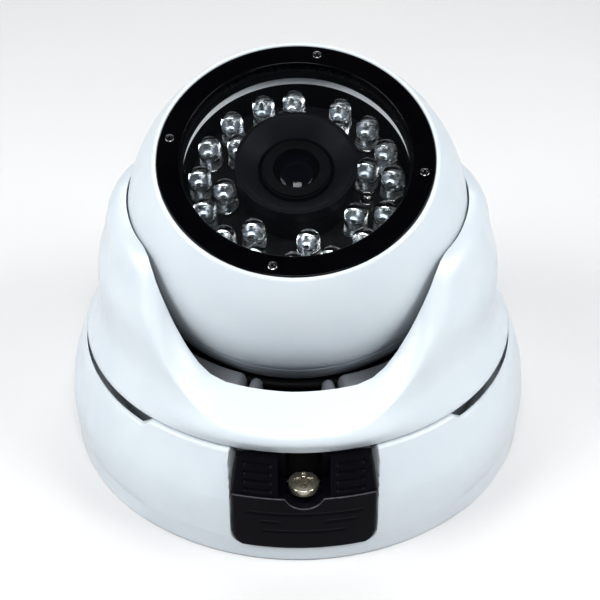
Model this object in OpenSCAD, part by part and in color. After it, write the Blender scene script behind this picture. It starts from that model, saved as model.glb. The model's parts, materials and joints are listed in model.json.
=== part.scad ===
// Dome camera: a ball that pans, tilts and rolls inside a two-armed yoke cover on a round base.
// Millimetres, +Z up. The origin is the centre of the base's bottom face and the front is -Y.

/* [Base] */
// Thickness of the base wall outside the bore that the yoke cover turns in
base_wall = 8.25; // [6.6:0.05:10]
// Height of the base rim between the lobes
base_h = 25; // [23:0.5:32]
// Height of the soft crease round the base wall
crease_z = 17; // [13:0.5:19]
// Thickness of the base floor
base_floor = 3; // [2.4:0.1:5]
// Height of the room for the cable between the floor and the ball
cable_room = 12.4; // [10:0.2:20]
// Radius of the cable hole in the floor
cable_hole_r = 9; // [5:0.5:14]
// Radius of the circle of mounting holes
mount_circle_r = 32; // [24:0.5:36]
// Radius of a mounting hole
mount_hole_r = 2.25; // [1.5:0.05:3]
// Number of mounting holes
mount_holes = 3; // [2:1:4]
// Angle that each lobe spans
lobe_span = 86; // [70:1:100]

/* [Lock pads] */
// Width of a lock pad at the crease
pad_w = 30; // [24:0.5:34]
// Width of a lock pad at its top edge
pad_top_w = 27.6; // [20:0.2:30]
// Height of a lock pad's lower edge
pad_bottom = 4.5; // [3.5:0.1:6]
// Height of the crease across a lock pad
pad_crease = 19; // [17:0.5:21]
// Radius of the lock screw's thread
lock_thread_r = 1.5; // [1:0.1:2]
// Radius of the lock screw's head
lock_head_r = 3.25; // [2.5:0.05:3.6]

/* [Yoke cover] */
// Thickness of an ear at the pivot
ear_wall = 3.3; // [2.9:0.1:5]
// Height of the ears above the pivot axis
ear_rise = 8.2; // [7:0.2:10]
// Drop of the front and back rim below the pivot axis
rim_drop = 17.4; // [14:0.2:19]
// Half width of the opening where its sides would meet the rim
opening_half_low = 20.2; // [16:0.2:22]
// Half width of the opening at the top of the ears
opening_half_high = 30.5; // [26:0.5:32]
// Overhang of the skirt outside the running lip
skirt_overhang = 3.55; // [3:0.05:4.4]
// Visible gap between the base rim and the skirt
skirt_gap = 1.9; // [1:0.1:3]
// Wall of the spigot that turns in the base
spigot_wall = 2; // [1.6:0.1:3]

/* [Ball] */
// Diameter of the ball
ball_d = 75.2; // [74:0.2:92]
// Wall thickness of the ball's shells
shell_wall = 2.4; // [2:0.1:3]
// Height of the window's face above the ball centre
face_w = 23.3; // [22:0.1:26]
// Width of the tilt ring below the seam
tilt_ring_h = 4.8; // [4:0.1:6]

/* [Window] */
// Width of the bezel ring
bezel_w = 4.7; // [4:0.1:6]
// White lip left round the bezel
shell_lip = 0.8; // [0.5:0.1:1.5]
// Thickness of the window glass
glass_t = 1.6; // [1:0.1:2]
// Radius of a bezel screw's head
bezel_head_r = 1.2; // [0.9:0.1:1.4]

/* [Lamps] */
// Number of lamps in the outer ring
lamps_outer = 16; // [10:1:16]
// Number of lamps in the inner ring
lamps_inner = 8; // [4:1:8]
// Radius of a lamp
lamp_r = 2.5; // [1.5:0.1:2.6]
// Height of a lamp
lamp_h = 8.6; // [6:0.1:9]
// Distance between the two rings of lamps
lamp_ring_step = 5.2; // [5:0.1:5.4]

/* [Lens] */
// Radius of the lens hood's face
hood_r = 12.8; // [11:0.1:13]
// Radius of the hood's mouth
hood_mouth_r = 12; // [9:0.1:12.2]
// Radius of the lens barrel's head
barrel_r = 7.3; // [6.6:0.1:7.6]
// Radius of the barrel's thread
barrel_thread_r = 6; // [5.5:0.1:6.2]
// Radius of the front lens
front_lens_r = 5.3; // [4.5:0.1:5.8]

/* [Boards] */
// Thickness of a circuit board
board_t = 1.6; // [1:0.1:2]
// Space between the two circuit boards
board_gap = 8.4; // [7:0.2:10]
// Distance from the lower board's corners to the shell
board_edge_gap = 5.1; // [4:0.1:8]

/* [Pose] */
// Pan of the yoke cover as drawn
pan_at_rest = -3.5; // [-170:1:170]
// Tilt of the lens axis from vertical as drawn
tilt_at_rest = 25.6; // [0:0.1:80]
// Roll of the ball about the lens axis as drawn
roll_at_rest = -8; // [-170:1:170]

/* [Fits] */
// Radial clearance of a running fit or a screw in its hole
fit = 0.05; // [0.02:0.01:0.1]
// Gap between pieces that pass each other
gap = 0.3; // [0.2:0.05:0.5]

/* [Hidden] */
$fn = 96;
cut = 1;
ball_r = ball_d / 2;
ball_z = base_floor + cable_room + ball_r;

// Radial stack outside the ball
clear_r = ball_r + gap;
lug_t = 1.1;
lug_r = clear_r + lug_t;
yoke_in_r = lug_r + 0.4;
ear_r = yoke_in_r + ear_wall;
spigot_in_r = yoke_in_r + 2;
spigot_r = spigot_in_r + spigot_wall;
lip_r = spigot_r + 2;
skirt_r = lip_r + skirt_overhang;
bore_r = lip_r + fit;
base_r = bore_r + base_wall;
rim_r = base_r - 2.4;
draft = 0.4;

// Heights inside the base
washer_t = 1;
ledge_z = 9.5;
ledge_r = lip_r - 4.4;
lip_z = ledge_z + washer_t;
lip_h = 2.8;
tongue_z = lip_z + lip_h + gap;
tongue_h = 2;
tongue_w = 10;
skirt_z = base_h + skirt_gap;
lobe_z = skirt_z - gap;

// Lock pads
pad_fit = 0.15;
pad_in_r = bore_r + 1.45;
pad_foot_z = 8;
pad_skirt_r = base_r - 2.2;
pad_r = base_r + 0.5;
pad_top_r = rim_r;
lock_seat_z = 17.4;
lock_head_h = 1.8;
lock_r = pad_in_r + 1.5;
lock_hole_bottom = 2;
counterbore_r = lock_head_r + 0.6;
recess_w = 10.7;
channel_r = 3.65;
louvre_count = 4;

// Yoke cover
ear_top = ball_z + ear_rise;
lug_room = 5.1;
rim_z = ball_z - rim_drop;
rim_fillet = 8;
seat_z = 23.5;
seat_t = 2.5;
seat_boss_r = 2.6;
seat_circle_r = spigot_in_r - 2.2;
pin_r = 2;
bush_r = 3.4;
bush_in = lug_r + gap;
bush_out = ear_r - 1.7;

// Ball, along its own axis with the ball centre at zero
ball_in_r = ball_r - shell_wall;
seam_w = -1;
ring_gap = 0.1;
ring_top = seam_w - ring_gap;
ring_bottom = ring_top - tilt_ring_h;
rear_top = ring_bottom - ring_gap;
spigot_ball_r = ball_r - 4.1;
ball_spigot_wall = 2;
ball_spigot_end = rear_top - 2.2;
seal_r = 0.45;
window_ring_r = sqrt(pow(ball_r, 2) - pow(face_w, 2));
bezel_r = window_ring_r - shell_lip;
window_r = bezel_r - bezel_w;
bezel_lip_t = 0.7;
glass_r = window_r + 1.6;
glass_top = face_w - bezel_lip_t;
glass_bottom = glass_top - glass_t;
gasket_t = 0.6;
seat_w = glass_bottom - gasket_t;
shell_hole_r = window_r + 0.2;
lip_bottom = seat_w - 1.8;
boss_bottom = lip_bottom - 3.6;
bezel_screw_r = window_r + bezel_w / 2 + 0.25;

// Lamp carrier
spacer_h = 2.7;
spacer_bottom = lip_bottom - spacer_h;
carrier_r = shell_hole_r + 1.1;
lamp_tip_w = spacer_bottom + 0.9;
board_top = lamp_tip_w - lamp_h;
board_bottom = board_top - board_t;
carrier_bottom = board_bottom - 1.6;
lamp_outer_r = window_r - lamp_r - 1;
lamp_inner_r = lamp_outer_r - lamp_ring_step;
lamp_phase = -roll_at_rest;
// Degrees that a lamp stands off the even spacing of its ring
lamp_nudge = [3.2, 0, -2, -3.5, 3.5, 0, 0, 0, 0, 0, 0, 0, 0, 0, 0, 0];

// Lens
hood_top = glass_bottom - 0.1;
hood_step_w = hood_top - 3.1;
hood_foot_r = hood_r - 1.4;
barrel_top = hood_top - 2.8;
barrel_bottom = board_top - 0.2;
sensor_board_top = -3;
lower_board_top = sensor_board_top - board_t - board_gap;
holder_half = 8;
holder_roof = 2.5;
holder_top = board_bottom - 1.9;
barrel_end = holder_roof - 1.5;

// Circuit boards fit inside the rear shell
board_corner = sqrt(pow(ball_in_r, 2) - pow(lower_board_top - board_t, 2)) - board_edge_gap;
board_w = board_corner * sqrt(2);
board_post = board_w / 2 - 3;
post_r = 2.2;
board_screw_r = 1;
shell_screw_circle = ball_in_r - 6.2;
shell_boss_r = 3.1;
shell_head_seat = -19.3;
grommet_r = 4.5;

// Radius at height z that just clears the ball
function clear_at(z) = sqrt(pow(clear_r, 2) - pow(z - ball_z, 2));

// A round bar between two heights
module rod(r, z0, z1) {
    translate([0, 0, z0])
        cylinder(r = r, h = z1 - z0);
}

// A flat ring between two heights
module ring(r_out, r_in, z0, z1) {
    difference() {
        rod(r_out, z0, z1);
        rod(r_in, z0 - cut, z1 + cut);
    }
}

// A box centred on X and Y between two heights
module slab(x, y, z0, z1) {
    translate([-x / 2, -y / 2, z0])
        cube([x, y, z1 - z0]);
}

// Copies on a circle, the first at the start angle
module around(count, radius, start = 0) {
    for (i = [0 : count - 1])
        rotate([0, 0, start + i * 360 / count])
            translate([radius, 0, 0])
                children();
}

// Copies at the four corners of a square
module at_corners(half) {
    for (x = [-half, half])
        for (y = [-half, half])
            translate([x, y, 0])
                children();
}

// A pan-head screw with a cross recess, its head on top of height z
module cross_screw(thread_r, head_r, head_h, z, length) {
    difference() {
        union() {
            rod(thread_r, z - length, z + head_h / 2);
            rod(head_r, z, z + head_h * 0.6);
            translate([0, 0, z + head_h * 0.6])
                cylinder(r1 = head_r, r2 = head_r * 0.75, h = head_h * 0.4);
        }
        for (a = [0, 90])
            rotate([0, 0, a])
                slab(head_r * 1.1, head_r * 0.24, z + head_h * 0.45, z + head_h + cut);
    }
}

// Frames of the moving bodies
module in_yoke() {
    rotate([0, 0, pan_at_rest])
        children();
}

module in_tilt() {
    in_yoke()
        translate([0, 0, ball_z])
            rotate([tilt_at_rest, 0, 0])
                children();
}

module in_ball() {
    in_tilt()
        rotate([0, 0, roll_at_rest])
            children();
}

// Base

module wall_section() {
    polygon([[0, 0], [base_r, 0], [base_r - draft, crease_z], [rim_r, base_h], [0, base_h]]);
}

// Fuller wall of a lobe, which rises out of the base wall above the crease
module lobe_section() {
    polygon([
        [bore_r - 1, crease_z - 2], [base_r - draft - 0.6, crease_z - 2],
        [rim_r + 1.4, lobe_z - 3], [rim_r + 0.6, lobe_z], [bore_r - 1, lobe_z]
    ]);
}

// Open channel between the yoke cover and the thin rim that stands between the lobes
module rim_channel() {
    translate([bore_r - cut, tongue_z + tongue_h])
        square([rim_r - 1.4 - bore_r + cut, lobe_z]);
}

// Room for a lock pad outside a radius and above height z, pointing along +X
module pad_room(r, z) {
    difference() {
        translate([0, -pad_w / 2 - pad_fit, z])
            cube([base_r + cut, pad_w + 2 * pad_fit, lobe_z]);
        rod(r, z - cut, z + lobe_z + cut);
    }
}

// Pocket in the base wall that a lock pad drops into, pointing along +X
module pad_pocket() {
    pad_room(pad_in_r, pad_foot_z);
    pad_room(pad_skirt_r, pad_bottom - pad_fit);
    translate([bore_r - cut, -tongue_w / 2 - pad_fit, tongue_z - pad_fit])
        cube([3 + cut, tongue_w + 2 * pad_fit, tongue_h + 2 * pad_fit]);
    translate([lock_r, 0, 0]) {
        rod(lock_thread_r + fit, lock_hole_bottom, pad_foot_z + cut);
        rod(counterbore_r, lock_seat_z - pad_fit, lobe_z + cut);
    }
}

module base_casting() {
    color("whitesmoke")
    difference() {
        union() {
            rotate_extrude()
                wall_section();
            for (a = [-90, 90])
                rotate([0, 0, a - lobe_span / 2])
                    rotate_extrude(angle = lobe_span)
                        lobe_section();
        }
        rod(bore_r, ledge_z, lobe_z + cut);
        rod(ledge_r, base_floor, lobe_z + cut);
        rod(cable_hole_r, -cut, base_floor + cut);
        around(mount_holes, mount_circle_r, -30)
            rod(mount_hole_r, -cut, base_floor + cut);
        ring(base_r - 2.9, base_r - 7.9, -cut, gasket_t * 2);
        for (a = [-90, 90]) {
            rotate([0, 0, a])
                pad_pocket();
            rotate([0, 0, a + lobe_span / 2 + 1])
                rotate_extrude(angle = 178 - lobe_span)
                    rim_channel();
        }
    }
}

module base_gasket() {
    color("dimgray")
    ring(base_r - 3, base_r - 7.8, 0, gasket_t * 2);
}

module pan_washer() {
    color("ivory")
    ring(lip_r - 0.3, ledge_r + 0.6, ledge_z, lip_z);
}

// Outline of a lock pad seen from the front
module pad_outline() {
    corner = 3;
    polygon([
        [-pad_w / 2, pad_crease], [pad_w / 2, pad_crease],
        [pad_top_w / 2, lobe_z], [-pad_top_w / 2, lobe_z]
    ]);
    translate([-pad_w / 2, pad_bottom + corner])
        square([pad_w, pad_crease - pad_bottom - corner]);
    translate([-pad_w / 2 + corner, pad_bottom])
        square([pad_w - 2 * corner, corner + cut]);
    for (s = [-1, 1])
        translate([s * (pad_w / 2 - corner), pad_bottom + corner])
            circle(r = corner);
}

module pad_section() {
    polygon([
        [pad_in_r + pad_fit, pad_foot_z], [pad_skirt_r + pad_fit, pad_foot_z],
        [pad_skirt_r + pad_fit, pad_bottom], [pad_r, pad_bottom],
        [pad_r, pad_crease], [pad_top_r, lobe_z], [pad_in_r + pad_fit, lobe_z]
    ]);
}

// A clamp block whose tongue holds down the yoke's lip, pointing along +X
module lock_pad() {
    slope = atan2(pad_r - pad_top_r, lobe_z - pad_crease);
    difference() {
        union() {
            intersection() {
                rotate_extrude()
                    pad_section();
                rotate([90, 0, 90])
                    linear_extrude(height = base_r * 2)
                        pad_outline();
            }
            translate([spigot_r + 0.5, -tongue_w / 2, tongue_z])
                cube([pad_in_r - spigot_r + cut, tongue_w, tongue_h]);
        }
        translate([lock_r, 0, 0]) {
            rod(counterbore_r, lock_seat_z, lobe_z + cut);
            rod(lock_thread_r + 2 * fit, pad_bottom, lock_seat_z + cut);
        }
        translate([pad_in_r, -recess_w / 2, lock_seat_z + lock_head_h])
            cube([base_wall + cut, recess_w, lobe_z]);
        translate([lock_r + lock_head_r - 0.5, 0, lock_seat_z + lock_head_h])
            rotate([0, 90, 0])
                rod(channel_r, 0, base_wall);
        for (i = [0 : louvre_count - 1])
            for (s = [-1, 1])
                translate([pad_r, s * (recess_w / 2 + 4), pad_crease])
                    rotate([0, -slope, 0])
                        translate([0, 0, 1.4 + i * 2])
                            cube([1.2, 5.6, 0.7], center = true);
    }
}

module lock_pad_front() {
    color("black")
    rotate([0, 0, -90])
        lock_pad();
}

module lock_pad_back() {
    color("black")
    rotate([0, 0, 90])
        lock_pad();
}

module lock_screws() {
    color("silver")
    around(2, lock_r, -90)
        cross_screw(lock_thread_r, lock_head_r, lock_head_h, lock_seat_z,
                    lock_seat_z - lock_hole_bottom - 0.5);
}

// Yoke cover and ball seat

module yoke_section() {
    polygon([
        [0, lip_z], [lip_r, lip_z], [lip_r, lip_z + lip_h], [spigot_r, lip_z + lip_h],
        [spigot_r, skirt_z], [skirt_r, skirt_z], [skirt_r, skirt_z + 2.4],
        [skirt_r - 1.4, skirt_z + 5], [skirt_r - 2.9, skirt_z + 9],
        [skirt_r - 3.6, skirt_z + 14], [ear_r + 2, ball_z - 4],
        [ear_r + 0.6, ball_z - 1.2], [ear_r, ball_z + 2], [ear_r - 0.5, ball_z + 6],
        [ear_r - 1.6, ear_top - 0.7], [ear_r - 3.4, ear_top], [0, ear_top]
    ]);
}

// Space over the sloping front and back rims
module rim_slope() {
    fall = tan(26);
    start = yoke_in_r + 0.6;
    inner = yoke_in_r - 2;
    outer = skirt_r + cut;
    polygon([
        [inner, rim_z + (start - inner) * fall], [outer, rim_z - (outer - start) * fall],
        [outer, rim_z + 2], [inner, rim_z + 2]
    ]);
}

// Opening between the ears, seen from the front
module opening_outline() {
    side = atan2(ear_top - rim_z, opening_half_high - opening_half_low);
    run = rim_fillet * tan(side / 2);
    centre = opening_half_low - run;
    right = [for (a = [0 : 7])
        [centre + rim_fillet * sin(side * a / 7),
         rim_z + rim_fillet * (1 - cos(side * a / 7))]];
    left = [for (a = [7 : -1 : 0]) [-right[a][0], right[a][1]]];
    above = 5;
    top_half = opening_half_high + above / tan(side);
    polygon(concat(right, [[top_half, ear_top + above], [-top_half, ear_top + above]], left));
}

module yoke_cover() {
    color("whitesmoke")
    in_yoke()
    difference() {
        union() {
            difference() {
                rotate_extrude()
                    yoke_section();
                rod(yoke_in_r, lip_z - cut, ball_z + lug_room);
                rod(spigot_in_r, lip_z - cut, skirt_z + 3);
            }
            for (a = [30, 150, 210, 330])
                rotate([0, 0, a])
                    translate([seat_circle_r, 0, 0])
                        rod(seat_boss_r, seat_z + seat_t, rim_z - 2);
        }
        translate([0, 0, ball_z])
            sphere(r = clear_r);
        rotate([90, 0, 0])
            linear_extrude(height = 3 * base_r, center = true)
                opening_outline();
        for (a = [-90, 90])
            rotate([0, 0, a - 22])
                rotate_extrude(angle = 44)
                    rim_slope();
        for (a = [30, 150, 210, 330])
            rotate([0, 0, a])
                translate([seat_circle_r, 0, 0])
                    rod(board_screw_r + fit, seat_z, rim_z - 3);
        for (s = [-1, 1])
            translate([0, 0, ball_z])
                rotate([0, s * 90, 0])
                    rod(bush_r + fit / 2, ball_r, bush_out);
    }
}

module seat_ring() {
    collar_top = 30;
    color("darkgray")
    in_yoke()
    difference() {
        union() {
            rod(spigot_in_r - 0.2, seat_z, seat_z + seat_t);
            intersection() {
                translate([0, 0, ball_z])
                    sphere(r = clear_r + 2.5);
                rod(spigot_in_r - 5, seat_z, collar_top);
            }
        }
        translate([0, 0, ball_z])
            sphere(r = clear_r);
        rod(clear_at(seat_z + 1), seat_z - cut, seat_z + 1.5);
        for (a = [30, 150, 210, 330])
            rotate([0, 0, a])
                translate([seat_circle_r, 0, 0])
                    rod(board_screw_r + 2 * fit, seat_z - cut, seat_z + seat_t + cut);
    }
}

module seat_screws() {
    color("silver")
    in_yoke()
    for (a = [30, 150, 210, 330])
        rotate([0, 0, a])
            translate([seat_circle_r, 0, seat_z])
                rotate([180, 0, 0])
                    cross_screw(board_screw_r, 1.9, 1.4, 0, 8);
}

// Four curved blocks that stand on the seat ring, clear of the middle of the opening
module seat_blocks() {
    block_top = rim_z - 1.2;
    block_span = 30;
    block_start = 16;
    color("gray")
    in_yoke()
    for (a = [-90 - block_start - block_span, -90 + block_start, 90 - block_start - block_span, 90 + block_start])
        rotate([0, 0, a])
            rotate_extrude(angle = block_span)
                translate([clear_at(block_top) + 0.4, seat_z + seat_t])
                    square([4.6, block_top - seat_z - seat_t]);
}

module friction_ring() {
    cord_r = 1;
    ring_z = 31;
    ring_r = sqrt(pow(clear_r + cord_r + 0.1, 2) - pow(ring_z - ball_z, 2));
    color("dimgray")
    in_yoke()
    translate([0, 0, ring_z])
        rotate_extrude()
            translate([ring_r, 0])
                circle(r = cord_r, $fn = 32);
}

module pivot_bushes() {
    color("ivory")
    in_yoke()
    for (s = [-1, 1])
        translate([0, 0, ball_z])
            rotate([0, s * 90, 0])
                ring(bush_r, pin_r + fit, bush_in, bush_out);
}

// Tilt ring

module tilt_ring() {
    lug_w = 4.2;
    color("dimgray")
    in_tilt()
    difference() {
        union() {
            intersection() {
                sphere(r = ball_r - 0.2);
                rod(ball_r, ring_bottom, ring_top);
            }
            intersection() {
                sphere(r = lug_r);
                union() {
                    rotate([0, 90, 0])
                        cylinder(r = lug_w, h = 2 * lug_r + cut, center = true);
                    slab(2 * lug_r + cut, 2 * lug_w - 1.4, ring_bottom, 0);
                }
                difference() {
                    slab(3 * lug_r, 3 * lug_r, ring_bottom, lug_w + cut);
                    rod(spigot_ball_r + fit, ring_bottom - cut, ring_top + cut);
                    difference() {
                        sphere(r = clear_r);
                        rod(ball_r + cut, ring_bottom - cut, ring_top);
                    }
                }
            }
        }
        rod(spigot_ball_r + fit, ring_bottom - cut, ring_top + cut);
        for (s = [-1, 1])
            rotate([0, s * 90, 0])
                rod(pin_r, clear_r + 0.3, lug_r + cut);
    }
}

module pivot_pins() {
    color("silver")
    in_tilt()
    for (s = [-1, 1])
        rotate([0, s * 90, 0])
            rod(pin_r, clear_r + 0.3, bush_out - 0.1);
}

// Ball shells

module front_shell() {
    color("whitesmoke")
    in_ball()
    difference() {
        union() {
            intersection() {
                sphere(r = ball_r);
                rod(ball_r + cut, seam_w, face_w);
            }
            rod(spigot_ball_r, ball_spigot_end, seam_w + cut);
        }
        intersection() {
            sphere(r = ball_in_r);
            rod(ball_r, seam_w + 2, boss_bottom);
        }
        rod(spigot_ball_r - ball_spigot_wall, ball_spigot_end - cut, seam_w + 2);
        rod(carrier_r + fit, seam_w, lip_bottom);
        rod(shell_hole_r, seam_w, face_w + cut);
        rod(bezel_r + fit, seat_w, face_w + cut);
        around(4, bezel_screw_r, 0)
            rod(0.7 + fit, boss_bottom + cut, seat_w + cut);
        around(3, carrier_r + 2.4, 45)
            rod(board_screw_r + fit, boss_bottom - cut, lip_bottom);
        rotate_extrude()
            translate([spigot_ball_r - seal_r + 0.1, ball_spigot_end + 1.1])
                circle(r = seal_r + 0.1, $fn = 32);
    }
    color("whitesmoke")
    in_ball()
    around(4, shell_screw_circle, 0)
        difference() {
            translate([0.4, 0, 0])
                rod(shell_boss_r, ball_spigot_end, 2);
            rod(1.25 + fit, ball_spigot_end - cut, 1);
        }
}

module rear_shell() {
    color("black")
    in_ball()
    difference() {
        union() {
            difference() {
                intersection() {
                    sphere(r = ball_r);
                    rod(ball_r + cut, -ball_r - cut, rear_top);
                }
                intersection() {
                    sphere(r = ball_in_r);
                    rod(ball_r, -ball_r, rear_top - 3);
                }
                rod(spigot_ball_r + fit, rear_top - 3 - cut, rear_top + cut);
            }
            intersection() {
                sphere(r = ball_r - 1);
                union() {
                    around(4, shell_screw_circle, 0)
                        rod(shell_boss_r, -ball_r, ball_spigot_end - 0.05);
                    at_corners(board_post)
                        rod(post_r, -ball_r, lower_board_top - board_t);
                }
            }
        }
        around(4, shell_screw_circle, 0) {
            rod(1.25 + 2 * fit, -ball_r - cut, rear_top);
            rod(2.3, -ball_r - cut, shell_head_seat);
        }
        at_corners(board_post)
            rod(board_screw_r + fit, lower_board_top - board_t - 5, lower_board_top);
        rod(grommet_r, -ball_r - cut, -ball_in_r + 2);
    }
}

module shell_seal() {
    color("black")
    in_ball()
    rotate_extrude()
        translate([spigot_ball_r - seal_r + fit, ball_spigot_end + 1.1])
            circle(r = seal_r, $fn = 32);
}

module shell_screws() {
    color("silver")
    in_ball()
    around(4, shell_screw_circle, 0)
        translate([0, 0, shell_head_seat])
            rotate([180, 0, 0])
                cross_screw(1.25, 2.1, 1.4, 0, ball_spigot_end - shell_head_seat + 6);
}

// Window

module bezel_ring() {
    edge = 0.4;
    color("black")
    in_ball()
    difference() {
        rotate_extrude()
            polygon([
                [glass_r + 0.15, seat_w], [bezel_r, seat_w], [bezel_r, face_w - edge],
                [bezel_r - edge, face_w], [window_r + edge, face_w],
                [window_r, face_w - edge], [window_r, glass_top], [glass_r + 0.15, glass_top]
            ]);
        around(4, bezel_screw_r, 0) {
            rod(0.7 + fit, seat_w - cut, face_w + cut);
            rod(bezel_head_r + fit, face_w - bezel_lip_t, face_w + cut);
        }
    }
}

module bezel_screws() {
    color("silver")
    in_ball()
    around(4, bezel_screw_r, 0)
        cross_screw(0.7, bezel_head_r, bezel_lip_t - 0.1, face_w - bezel_lip_t, 4);
}

module front_glass() {
    color("lightcyan", 0.3)
    in_ball()
    rod(glass_r, glass_bottom, glass_top);
}

module glass_gasket() {
    color("black")
    in_ball()
    rotate_extrude()
        polygon([
            [shell_hole_r - 0.5, lip_bottom - 0.1], [shell_hole_r - 0.05, lip_bottom - 0.1],
            [shell_hole_r - 0.05, seat_w], [glass_r, seat_w], [glass_r, glass_bottom],
            [shell_hole_r - 0.5, glass_bottom]
        ]);
}

// Lamps

module spacer_ring() {
    color("silver")
    in_ball()
    ring(carrier_r, shell_hole_r, spacer_bottom, lip_bottom);
}

module carrier_lug_holes(r) {
    around(3, carrier_r + 2.4, 45)
        rod(r, carrier_bottom - cut, lip_bottom);
}

module lamp_carrier() {
    lug_h = 1.6;
    color("black")
    in_ball()
    difference() {
        union() {
            ring(carrier_r, shell_hole_r, carrier_bottom, spacer_bottom);
            ring(carrier_r, shell_hole_r - 1.6, carrier_bottom, board_bottom);
            around(3, carrier_r + 2.4, 45)
                difference() {
                    rod(2.6, boss_bottom - lug_h, boss_bottom);
                    translate([-carrier_r - 2.4, 0, 0])
                        rod(shell_hole_r + 0.5, boss_bottom - lug_h - cut, boss_bottom + cut);
                }
        }
        carrier_lug_holes(board_screw_r + 2 * fit);
    }
}

module carrier_screws() {
    color("silver")
    in_ball()
    around(3, carrier_r + 2.4, 45)
        translate([0, 0, boss_bottom - 1.6])
            rotate([180, 0, 0])
                cross_screw(board_screw_r, 1.9, 1.3, 0, 5);
}

module lamp_board() {
    color("black")
    in_ball()
    ring(shell_hole_r - 0.2, barrel_r + 0.9, board_bottom, board_top);
}

// A clear lamp with a round dome, standing on the lamp board
module lamp() {
    rod(lamp_r + 0.3, board_top, board_top + 1);
    rod(lamp_r, board_top, lamp_tip_w - lamp_r);
    translate([0, 0, lamp_tip_w - lamp_r])
        sphere(r = lamp_r, $fn = 48);
}

module lamps_outer_ring() {
    color("lightgray")
    in_ball()
    for (i = [0 : lamps_outer - 1])
        rotate([0, 0, lamp_phase + i * 360 / lamps_outer + lamp_nudge[i]])
            translate([lamp_outer_r, 0, 0])
                lamp();
}

module lamps_inner_ring() {
    color("lightgray")
    in_ball()
    around(lamps_inner, lamp_inner_r, lamp_phase + 180 / lamps_outer)
        lamp();
}

module light_sensor() {
    sensor_r = 1.5;
    color("lightgray")
    in_ball()
    rotate([0, 0, lamp_phase - 180 / lamps_outer])
        translate([lamp_inner_r, 0, 0]) {
            rod(sensor_r, board_top, board_top + 3.4);
            translate([0, 0, board_top + 3.4])
                sphere(r = sensor_r, $fn = 48);
        }
}

// Lens

module lens_hood() {
    color("black")
    in_ball()
    rotate_extrude()
        polygon([
            [barrel_r + 1.3, board_top], [hood_foot_r, board_top],
            [hood_foot_r, hood_step_w - 2], [hood_r, hood_step_w],
            [hood_r, hood_top - 0.5], [hood_r - 0.5, hood_top],
            [hood_mouth_r, hood_top], [barrel_r + 0.6, barrel_top],
            [barrel_r + 0.6, barrel_top - 4], [barrel_r + 1.3, barrel_top - 5]
        ]);
}

module lens_barrel() {
    color("black")
    in_ball()
    difference() {
        union() {
            rod(barrel_r, barrel_bottom, barrel_top);
            rod(barrel_thread_r, barrel_end, barrel_bottom + cut);
        }
        rod(front_lens_r + fit, barrel_top - 4, barrel_top + cut);
        rod(front_lens_r - 1, barrel_end - cut, barrel_top);
    }
}

module lens_retainer() {
    color("black")
    in_ball()
    ring(barrel_r - 0.3, front_lens_r - 0.4, barrel_top, barrel_top + 0.6);
}

// A round lens with one domed face
module dome_lens(r, z, thickness, bulge) {
    dome_r = (pow(r, 2) + pow(bulge, 2)) / (2 * bulge);
    rod(r, z, z + thickness);
    intersection() {
        translate([0, 0, z + thickness + bulge - dome_r])
            sphere(r = dome_r);
        rod(r, z + thickness / 2, z + thickness + bulge + cut);
    }
}

module front_lens() {
    color("lightsteelblue", 0.5)
    in_ball()
    dome_lens(front_lens_r, barrel_top - 4, 2, 1.7);
}

module rear_lens() {
    color("lightsteelblue", 0.5)
    in_ball()
    dome_lens(front_lens_r - 1 - fit, barrel_end + 0.5, 1.5, 0.8);
}

module focus_lock_ring() {
    color("dimgray")
    in_ball()
    difference() {
        rod(barrel_r + 1, holder_top + 0.1, board_bottom - 0.3);
        rod(barrel_thread_r + fit, holder_top, board_bottom);
        around(24, barrel_r + 1.1, 0)
            rod(0.35, holder_top, board_bottom, $fn = 24);
    }
}

module lens_holder() {
    color("black")
    in_ball()
    difference() {
        union() {
            slab(2 * holder_half, 2 * holder_half, sensor_board_top, holder_roof);
            rod(barrel_thread_r + 1.6, holder_roof - cut, holder_top);
            for (s = [-1, 1])
                translate([s * (holder_half + 1.5), 0, 0])
                    rod(2.5, sensor_board_top, sensor_board_top + 2);
        }
        slab(2 * holder_half - 3, 2 * holder_half - 3, sensor_board_top - cut, holder_roof - 2);
        rod(barrel_thread_r + fit, sensor_board_top, holder_top + cut);
        for (s = [-1, 1])
            translate([s * (holder_half + 1.8), 0, 0])
                rod(board_screw_r + fit, sensor_board_top - cut, sensor_board_top + 2 + cut);
    }
}

module lens_holder_screws() {
    color("silver")
    in_ball()
    for (s = [-1, 1])
        translate([s * (holder_half + 1.8), 0, sensor_board_top - board_t])
            rotate([180, 0, 0])
                cross_screw(board_screw_r, 1.7, 1.2, 0, board_t + 1.8);
}

// Circuit boards

module image_sensor() {
    color("dimgray")
    in_ball() {
        slab(10, 10, sensor_board_top, sensor_board_top + 1.2);
        slab(7, 6, sensor_board_top + 1.2, sensor_board_top + 1.7);
    }
}

module circuit_board(top) {
    difference() {
        slab(board_w, board_w, top - board_t, top);
        at_corners(board_post)
            rod(board_screw_r + 2 * fit, top - board_t - cut, top + cut);
    }
}

module sensor_board() {
    color("darkgreen")
    in_ball()
    difference() {
        circuit_board(sensor_board_top);
        for (s = [-1, 1])
            translate([s * (holder_half + 1.8), 0, 0])
                rod(board_screw_r + 2 * fit, -ball_r, 0);
    }
}

module board_standoffs() {
    color("goldenrod")
    in_ball()
    at_corners(board_post)
        ring(post_r, board_screw_r + 2 * fit, lower_board_top, sensor_board_top - board_t);
}

module power_board() {
    color("darkgreen")
    in_ball()
    circuit_board(lower_board_top);
}

module video_chip() {
    color("dimgray")
    in_ball()
    slab(12, 12, lower_board_top, lower_board_top + 1.4);
}

module power_connector() {
    color("ivory")
    in_ball()
    translate([0, -board_w / 2 + 4, 0])
        difference() {
            slab(14, 6, lower_board_top, lower_board_top + 5);
            slab(12, 4, lower_board_top + 1, lower_board_top + 5 + cut);
        }
}

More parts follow.
